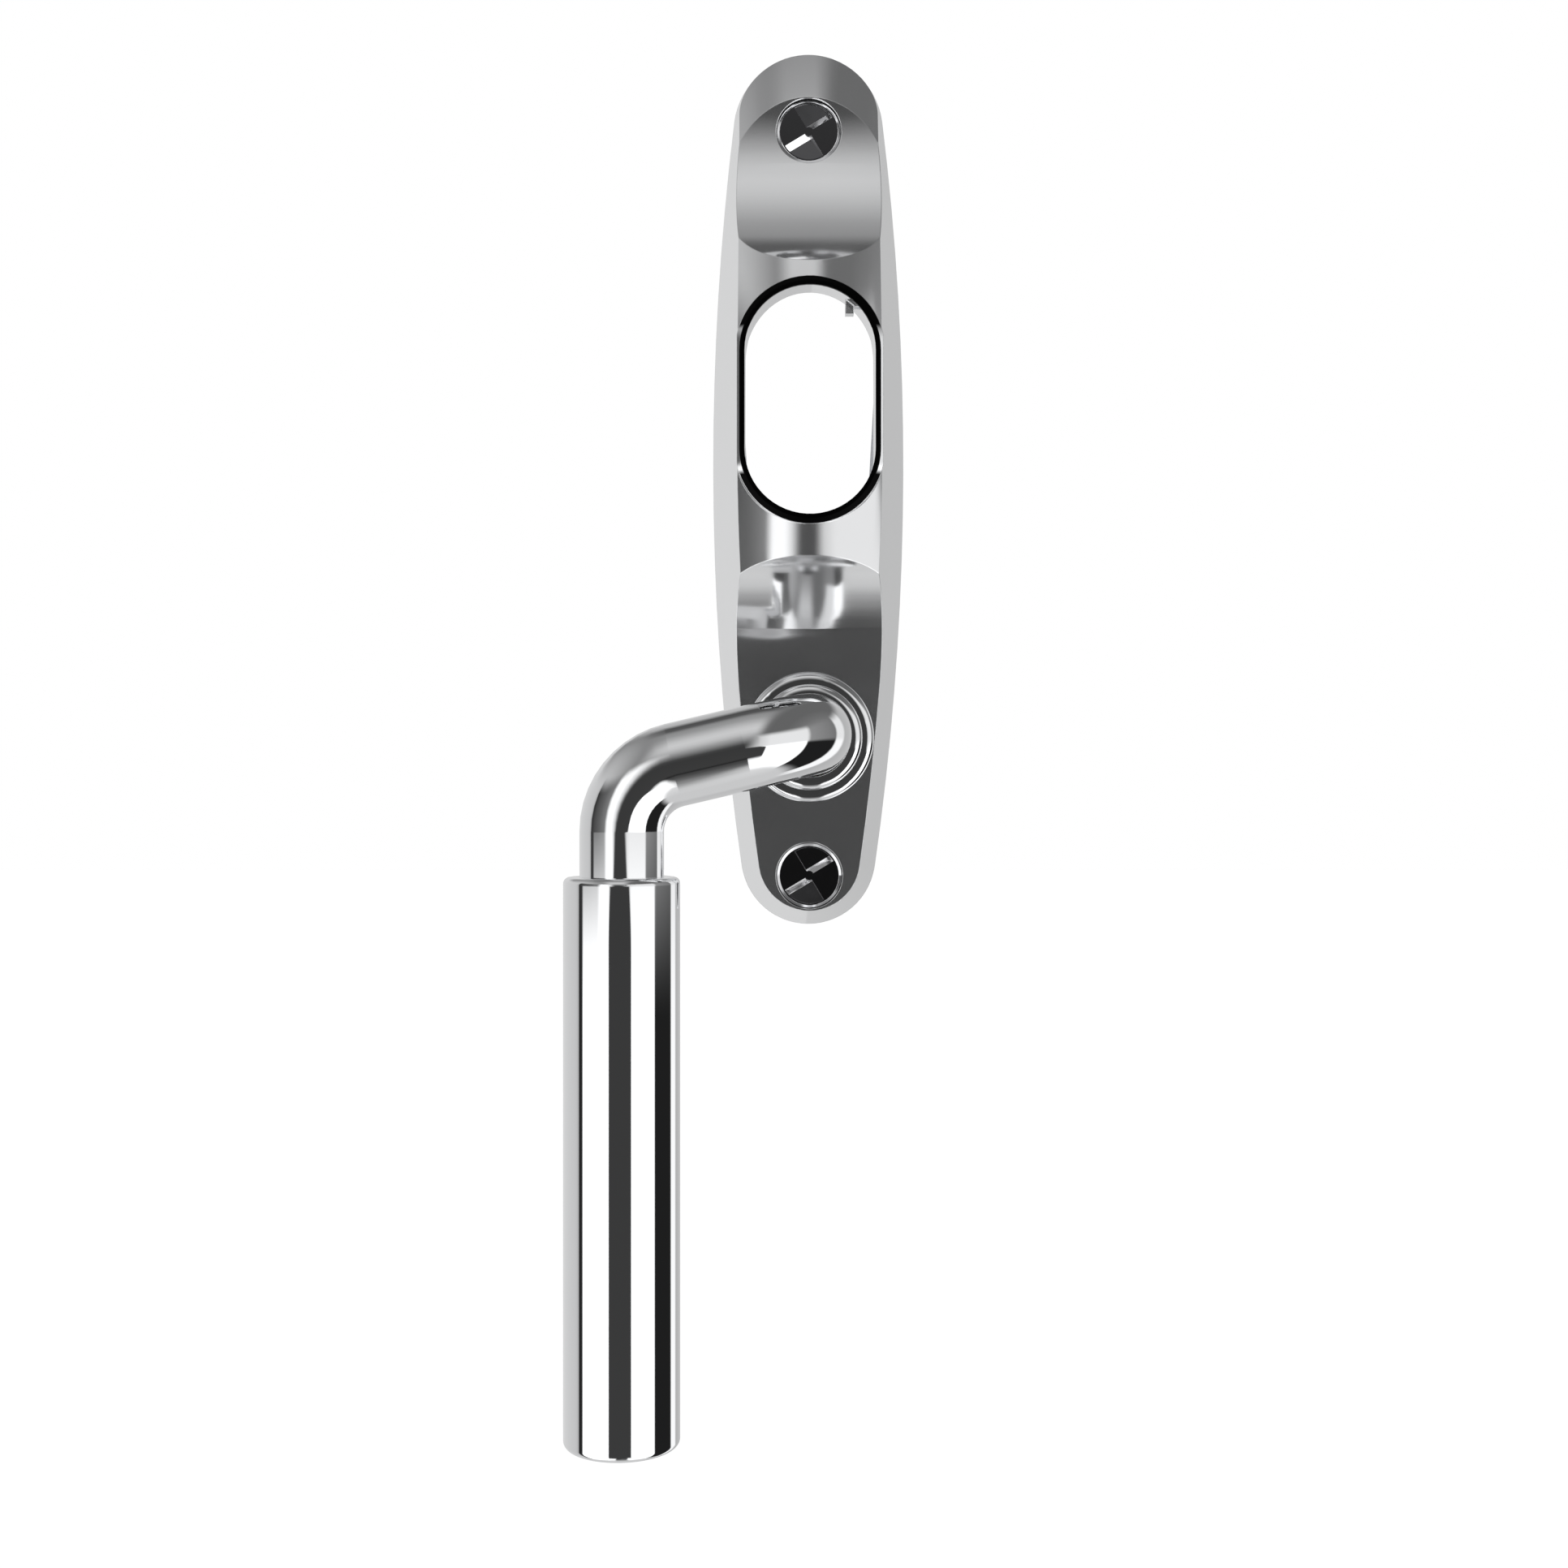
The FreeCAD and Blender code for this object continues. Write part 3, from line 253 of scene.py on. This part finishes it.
light = sky.mix(light, 1.0, seen)
background = sky.node("ShaderNodeBackground", inputs={"Color": WHITE, "Strength": light})
sky.node("ShaderNodeOutputWorld", inputs={"Surface": background.outputs[0]})
print("stops round the horizon:", len(ROUND_THE_HORIZON), "and over it:", len(UNDER_FRONT_OVER))

# %% [markdown]
# ## The floor
# A light table: a pale sheet, lit from inside, some way below the object. It melts into the
# white background. It is kept out of the metal's reflections, where its edge would draw a
# line across the grip.

# %% Lay the floor
FLOOR_DROP = 180 * MM
FLOOR_HALF = 6.0
floor_mesh = bpy.data.meshes.new("floor")
floor_z = cad_low.z - FLOOR_DROP
corners = [(x * FLOOR_HALF, y * FLOOR_HALF, floor_z)
           for x, y in ((-1, -1), (1, -1), (1, 1), (-1, 1))]
floor_mesh.from_pydata(corners, [], [(0, 1, 2, 3)])
floor = bpy.data.objects.new("floor", floor_mesh)
scene.collection.objects.link(floor)
floor.visible_glossy = False
print("floor lies", round(-floor_z / MM), "mm below the lever's axis")

# %% [markdown]
# ## A base for finishes
# Every finish ends in one Principled shader. What makes metal believable is that nothing on
# it is quite even: the gloss varies in soft patches, the polish has left hairlines, the
# surface waves by microns, and edges are a little rounded so that they catch the light. The
# class below has one short call for each of these.

# %% A finish and its layers
EVEN = (1, 1, 1)
NOISE_REACH = (0.32, 0.68)
SCRATCH_SHOWS = (0.66, 0.74)
PATCH_SHOWS = (0.45, 0.65)
SCRATCH_LENGTHWAYS = (1, 1, 0.025)
SCRATCHES = ((0.5, 0.22), (-0.9, 0.3), (1.7, 0.26))  # the turn in radians, the width in mm
EDGE_SAMPLES = 6


class Finish(Tree):
    """A material with one Principled shader; each layer call adds a real surface effect."""

    def __init__(self, name, **looks):
        self.material = bpy.data.materials.new(name)
        self.material.use_nodes = True
        super().__init__(self.material.node_tree)
        self.shader = self.tree.nodes["Principled BSDF"]
        self.place = self.node("ShaderNodeTexCoord").outputs["Object"]
        self.relief = None
        for look, value in looks.items():
            self.shader.inputs[look.replace("_", " ")].default_value = value

    def noise(self, size_mm, detail, stretch=EVEN, turn=(0, 0, 0)):
        """Noise whose patches are about size_mm across, squeezed along each axis by stretch."""
        laid = self.node("ShaderNodeMapping", inputs={"Vector": self.place, "Scale": stretch,
                                                      "Rotation": turn})
        made = self.node("ShaderNodeTexNoise", inputs={
            "Vector": laid.outputs["Vector"], "Scale": 1 / (size_mm * MM), "Detail": detail})
        return made.outputs["Fac"]

    def spread(self, value, low, high):
        """Stretch noise, which keeps near its middle, over a whole range."""
        return self.step(value, *NOISE_REACH, low, high)

    def raise_by(self, height_value, depth_mm):
        """Add one more layer of relief, depth_mm deep."""
        inputs = {"Height": height_value, "Distance": depth_mm * MM, "Strength": 1.0}
        if self.relief is not None:
            inputs["Normal"] = self.relief
        self.relief = self.node("ShaderNodeBump", inputs=inputs).outputs["Normal"]
        self.feed(self.shader.inputs["Normal"], self.relief)

    def soften_edges(self, radius_mm):
        """Round every edge a little, as tumbling and polishing do."""
        self.relief = self.node("ShaderNodeBevel", samples=EDGE_SAMPLES,
                                inputs={"Radius": radius_mm * MM}).outputs["Normal"]
        self.feed(self.shader.inputs["Normal"], self.relief)

    def hairlines(self):
        """Fine scratches in three directions, thin and broken: 1 where there is one."""
        lines = None
        for turn, width_mm in SCRATCHES:
            askew = (turn, turn * 0.7, turn * 1.3)
            streak = self.noise(width_mm, 2, stretch=SCRATCH_LENGTHWAYS, turn=askew)
            line = self.step(streak, *SCRATCH_SHOWS)
            lines = line if lines is None else self.sum("MAXIMUM", lines, line)
        patches = self.step(self.noise(size_mm=12, detail=2), *PATCH_SHOWS)
        return self.sum("MULTIPLY", lines, patches)


def dress(finish, *names):
    """Put a finish on CAD nodes, in place of the plain one they came with."""
    for name in names:
        nodes[name].data.materials.clear()
        nodes[name].data.materials.append(finish.material)
    print(finish.material.name, "on", ", ".join(names))


# %% [markdown]
# ## Chrome on the casting
# The shield is a zinc casting, polished and plated. Plating follows every wave that
# polishing left, so a casting mirrors less cleanly than a turned bar: its reflections are
# soft, and a thin film of haze lifts the darkest ones. The haze is a little less metal in
# the shader. The rim's front face round the oval is painted black: a painted reflection of
# the dark gap in front of it, which that face mirrors. It is the only face that stands in
# front of the crown, so its depth alone is enough to find it. At the oval's two round ends
# the painted reflection runs out over the chamfer as well.

# %% Where the painted black reflection lies and what it looks like
RIM_FACE_DEPTH = 24.45 * MM
CHAMFER_DEPTH = 24.02 * MM
PAINTED_REFLECTION_EDGE = 0.05 * MM
OVAL_HEIGHT = 55.5 * MM
END_START = 11.4 * MM
END_FULL = 12.4 * MM
CHROME = (0.865, 0.87, 0.88, 1)
# black painted on the rim's front face: a painted reflection of the dark gap in front
PAINTED_REFLECTION_BLACK = (0.002, 0.002, 0.002, 1)

# %% Make the casting's chrome
HAZY_METAL = 0.955
CASTING_GLOSS = (0.06, 0.13)
SCRATCH_DULLS = 0.08
PAINTED_REFLECTION_GLOSS = 0.35
casting = Finish("casting_chrome", Metallic=HAZY_METAL)
casting.soften_edges(radius_mm=0.22)
casting.raise_by(casting.noise(size_mm=11, detail=1), depth_mm=0.006)
scratches = casting.hairlines()
patchy = casting.spread(casting.noise(size_mm=17, detail=4), *CASTING_GLOSS)
spot = casting.node("ShaderNodeSeparateXYZ", inputs={"Vector": casting.place}).outputs
land = casting.step(spot["Y"], -RIM_FACE_DEPTH, -RIM_FACE_DEPTH - PAINTED_REFLECTION_EDGE)
chamfer = casting.step(spot["Y"], -CHAMFER_DEPTH, -CHAMFER_DEPTH - PAINTED_REFLECTION_EDGE)
from_middle = casting.sum("ABSOLUTE", casting.sum("SUBTRACT", spot["Z"], OVAL_HEIGHT))
round_end = casting.step(from_middle, END_START, END_FULL)
# where the painted black reflection goes: the rim's front face, and the chamfer at the round
# ends
painted_reflection = casting.sum("MAXIMUM", land, casting.sum("MULTIPLY", chamfer, round_end))
plated = casting.sum("ADD", patchy, casting.sum("MULTIPLY", scratches, SCRATCH_DULLS))
casting.feed(casting.shader.inputs["Roughness"], casting.mix(plated, PAINTED_REFLECTION_GLOSS, painted_reflection))
casting.feed(casting.shader.inputs["Base Color"], casting.blend(CHROME, PAINTED_REFLECTION_BLACK, painted_reflection))
dress(casting, "shield")

# %% [markdown]
# ## Chrome on the collar
# The collar is a turned ring that stands on the casting. It is polished on the lathe, so it
# is smoother than the casting and mirrors more clearly, with only a faint wave in it.

# %% Make the collar's chrome
COLLAR_GLOSS = (0.02, 0.06)
collar_chrome = Finish("collar_chrome", Base_Color=CHROME, Metallic=1.0)
collar_chrome.soften_edges(radius_mm=0.15)
collar_chrome.raise_by(collar_chrome.noise(size_mm=5, detail=1), depth_mm=0.002)
collar_chrome.raise_by(collar_chrome.noise(size_mm=0.6, detail=2), depth_mm=0.0001)
collar_chrome.feed(collar_chrome.shader.inputs["Roughness"],
                   collar_chrome.spread(collar_chrome.noise(size_mm=9, detail=4),
                                        *COLLAR_GLOSS))
dress(collar_chrome, "collar")

# %% [markdown]
# ## Chrome on the bar and the grip
# The bar is bent from round steel and the grip is turned tube. Both are polished hard before
# plating, so they mirror almost perfectly. The tell-tale is in the long reflections: their
# edges waver by a hair, because the polishing wheel never takes off quite the same amount.

# %% Make the bar's and the grip's chrome
LONG_WAVES = (1, 1, 0.45)
TURNED_GLOSS = (0.008, 0.03)
HAIRLINE_DULLS = 0.06


def turned_chrome(name, wave_mm, wave_depth_mm, stretch):
    """Hard-polished chrome whose surface waves a little, by wave_depth_mm every wave_mm."""
    finish = Finish(name, Base_Color=CHROME, Metallic=1.0)
    finish.soften_edges(radius_mm=0.2)
    finish.raise_by(finish.noise(wave_mm, 2, stretch), wave_depth_mm)
    finish.raise_by(finish.noise(size_mm=0.5, detail=2), depth_mm=0.00006)
    lines = finish.hairlines()
    finish.raise_by(lines, depth_mm=-0.0002)
    film = finish.spread(finish.noise(size_mm=21, detail=4), *TURNED_GLOSS)
    finish.feed(finish.shader.inputs["Roughness"],
                finish.sum("ADD", film, finish.sum("MULTIPLY", lines, HAIRLINE_DULLS)))
    return finish


dress(turned_chrome("bar_chrome", wave_mm=7, wave_depth_mm=0.0025, stretch=EVEN), "lever_bar")
dress(turned_chrome("grip_chrome", wave_mm=6, wave_depth_mm=0.0018, stretch=LONG_WAVES),
      "grip_sleeve", "grip_cap")

# %% [markdown]
# ## Steel screws
# The two one-way screws are bare steel, with a painted dark reflection on the faces that
# point straight forward, standing in for the dark gap that those faces mirror. The way a face
# points tells which is which: where it faces straight forward it is painted black, and where
# it leans it is bare metal.

# %% Make the screw steel
BARE_STEEL = (0.85, 0.85, 0.86, 1)
# dark colour painted on the forward-facing faces: a painted reflection of the dark gap in front
PAINTED_DARK_REFLECTION_STEEL = (0.13, 0.13, 0.135, 1)
LEANS, FACES_FORWARD = 0.94, 0.97
SCREW_GLOSS = (0.04, 0.12)
screw_steel = Finish("screw_steel", Metallic=1.0)
screw_steel.soften_edges(radius_mm=0.1)
screw_steel.raise_by(screw_steel.noise(size_mm=0.35, detail=3), depth_mm=0.0002)
screw_steel.feed(screw_steel.shader.inputs["Roughness"],
                 screw_steel.spread(screw_steel.noise(size_mm=1.6, detail=4), *SCREW_GLOSS))
facing = screw_steel.node("ShaderNodeNewGeometry").outputs["True Normal"]
facing = screw_steel.node("ShaderNodeSeparateXYZ", inputs={"Vector": facing}).outputs["Y"]
# faces that point straight forward get the painted dark reflection
painted_dark_share = screw_steel.step(screw_steel.sum("ABSOLUTE", facing), LEANS, FACES_FORWARD)
screw_steel.feed(screw_steel.shader.inputs["Base Color"],
                 screw_steel.blend(BARE_STEEL, PAINTED_DARK_REFLECTION_STEEL, painted_dark_share))
dress(screw_steel, "fixing_screws")

# %% [markdown]
# ## Screw threads
# Behind the shield the screws carry a machine thread. A thread is one ridge wound round the
# shank. It can be made with a screw modifier or a swept curve, but a strip built turn by
# turn lets it run out to nothing at both ends, as a real thread does.

# %% Wind the threads
THREAD_PITCH = 0.8 * MM
THREAD_HEIGHT = 0.25 * MM
STEPS_PER_TURN = 28
ROOT_SINK = 0.04 * MM
RIDGE_HALF = 0.42 * THREAD_PITCH
BEHIND_PLATE = 5 * MM
THREAD_START = 0.4 * MM
BARE_POINT = 2 * MM
screws = nodes["fixing_screws"].data
shank_end = max(vertex.co.y for vertex in screws.vertices)
thread_end = shank_end - BARE_POINT


def wind_thread(name, centre_z, radius):
    """A tapering triangular ridge wound round an axis that runs along Y."""
    count = round((thread_end - THREAD_START) / THREAD_PITCH) * STEPS_PER_TURN
    points, faces = [], []
    for index in range(count + 1):
        turn = 2 * math.pi * index / STEPS_PER_TURN
        y = THREAD_START + THREAD_PITCH * index / STEPS_PER_TURN
        run_out = min(1, index / STEPS_PER_TURN, (count - index) / STEPS_PER_TURN)
        for lift, shift in ((-ROOT_SINK, -RIDGE_HALF), (THREAD_HEIGHT * run_out, 0),
                            (-ROOT_SINK, RIDGE_HALF)):
            out = radius + lift
            points.append((out * math.cos(turn), y + shift, centre_z + out * math.sin(turn)))
        if index:
            last = 3 * (index - 1)
            for a, b in ((0, 1), (1, 2), (2, 0)):
                faces.append((last + a, last + b, last + 3 + b, last + 3 + a))
    faces += [(2, 1, 0), tuple(range(3 * count, 3 * count + 3))]
    mesh = bpy.data.meshes.new(name)
    mesh.from_pydata(points, [], faces)
    mesh.materials.append(screw_steel.material)
    piece = bpy.data.objects.new(name, mesh)
    scene.collection.objects.link(piece)
    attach(piece, "shield_body")
    print(name, "has", count // STEPS_PER_TURN, "turns")


shank = [vertex.co for vertex in screws.vertices if vertex.co.y > BEHIND_PLATE]
middle = (cad_low.z + cad_high.z) / 2
for name, centre in (("upper_thread", [co.z for co in shank if co.z > middle]),
                     ("lower_thread", [co.z for co in shank if co.z < middle])):
    wind_thread(name, (min(centre) + max(centre)) / 2, (max(centre) - min(centre)) / 2)

# %% [markdown]
# ## Steel at the back
# The back plate is cut from rolled and zinc-plated sheet. Rolling leaves long upright lines,
# and plating leaves cloudy patches of gloss. The spindle, the pins, the washers and the
# click parts are plain steel under a film of oil, each with its own grain.

# %% Make the plate's and the inner parts' steel
ALONG_Z = (1, 1, 0.02)
ALONG_Y = (1, 0.03, 1)
DULLED = 0.86
GRAIN_DULLS = 0.12


def rolled_steel(name, colour, grain_mm, stretch, gloss):
    """Steel with grain lines: stretch is small along the direction that the lines run in."""
    finish = Finish(name, Metallic=1.0)
    finish.soften_edges(radius_mm=0.12)
    grain = finish.noise(grain_mm, 5, stretch)
    finish.raise_by(grain, depth_mm=0.002)
    clouds = finish.noise(size_mm=9, detail=4)
    finish.feed(finish.shader.inputs["Roughness"],
                finish.sum("ADD", finish.spread(clouds, *gloss),
                           finish.sum("MULTIPLY", grain, GRAIN_DULLS)))
    dull = [channel * DULLED for channel in colour]
    finish.feed(finish.shader.inputs["Base Color"],
                finish.blend((*dull, 1), (*colour, 1), finish.spread(clouds, 0, 1)))
    return finish


dress(rolled_steel("plate_steel", (0.66, 0.67, 0.7), 0.5, ALONG_Z, (0.22, 0.34)), "back_plate")
dress(rolled_steel("spindle_steel", (0.56, 0.56, 0.58), 0.4, ALONG_Y, (0.2, 0.3)), "spindle")
dress(rolled_steel("inner_steel", (0.5, 0.5, 0.52), 0.3, EVEN, (0.16, 0.3)),
      "plate_screws", "stop_pin", "spring_washer", "thrust_washer", "retaining_clip",
      "click_disc", "detent_ball", "detent_spring", "spindle_pin", "grip_screw")

# %% [markdown]
# ## Bearing plastic
# The bush and the click block are moulded from a white, slightly waxy plastic. Light goes a
# little way into it, and the mould leaves a fine, even texture.

# %% Make the bearing plastic
CREAM = (0.83, 0.81, 0.76, 1)
PALE_CREAM = (0.88, 0.87, 0.83, 1)
PLASTIC_GLOSS = (0.38, 0.52)
plastic = Finish("bearing_plastic", Subsurface_Weight=0.15, Subsurface_Scale=0.6 * MM)
plastic.raise_by(plastic.noise(size_mm=0.25, detail=2), depth_mm=0.004)
plastic.feed(plastic.shader.inputs["Roughness"],
             plastic.spread(plastic.noise(size_mm=4, detail=3), *PLASTIC_GLOSS))
tints = plastic.spread(plastic.noise(size_mm=6, detail=3), low=0, high=1)
plastic.feed(plastic.shader.inputs["Base Color"], plastic.blend(CREAM, PALE_CREAM, tints))
dress(plastic, "bush", "detent_block")

# %% [markdown]
# ## The floor's sheet
# The light table is topped with an opal sheet. A little light of its own and a pale, faintly
# patchy surface are enough, because only its brightness is seen.

# %% Make the floor's sheet
FLOOR_GREY = (0.93, 0.93, 0.93, 1)
FLOOR_GLOW = 0.7
FLOOR_GLOSS = (0.55, 0.7)
pale = Finish("floor_sheet", Base_Color=FLOOR_GREY, Emission_Strength=FLOOR_GLOW,
              Emission_Color=WHITE)
pale.feed(pale.shader.inputs["Roughness"],
          pale.spread(pale.noise(size_mm=300, detail=2), *FLOOR_GLOSS))
floor_mesh.materials.append(pale.material)
